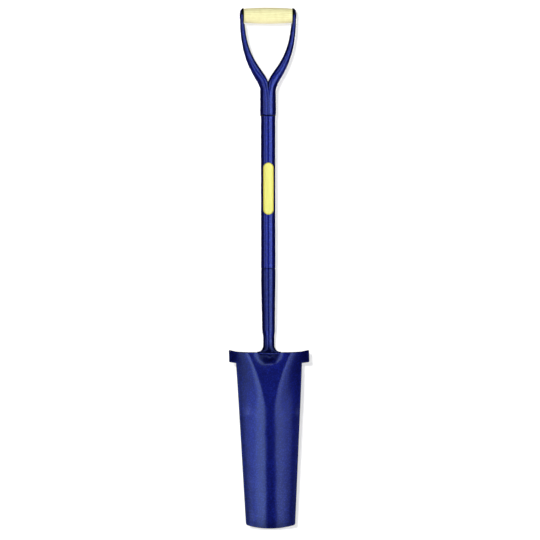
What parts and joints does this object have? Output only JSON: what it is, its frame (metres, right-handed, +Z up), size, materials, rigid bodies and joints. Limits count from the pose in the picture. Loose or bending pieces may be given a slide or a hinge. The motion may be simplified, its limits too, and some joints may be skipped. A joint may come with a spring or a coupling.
{
  "type": "trenching spade",
  "caption": "All-steel trenching spade with a long narrow dished blade, foot treads, tube shaft and a split D handle with a turned wooden grip.",
  "frame": {"origin": "middle of the cutting edge, on the blade's front face", "axes": "+Z up along the shaft, -Y out of the blade's hollow front, +X to the right of someone who faces that front"},
  "size_m": [0.1738, 0.1, 1.124],
  "materials": {
    "blue_paint": "deep blue hammered metallic paint",
    "bare_steel": "bare drawn steel, hidden",
    "grip_wood": "pale turned hardwood, sealed",
    "label_film": "plain yellow film with a gold border"
  },
  "bodies": {
    "tool": {"blade": "blue_paint", "socket": "blue_paint", "neck_weld": "blue_paint", "shaft_tube": "blue_paint", "joint_spigot": "bare_steel", "joint_weld": "blue_paint", "arm_left": "blue_paint", "arm_right": "blue_paint", "seam_weld": "blue_paint", "collar_weld": "blue_paint", "grip_rivet": "blue_paint", "label": "label_film"},
    "grip_barrel": {"grip": "grip_wood"}
  },
  "joints": [
    {"name": "grip_turn", "type": "hinge", "parent": "tool", "child": "grip_barrel", "pos_m": [0, 0.06823, 1.10656], "axis": [1, 0, 0], "continuous": true}
  ]
}
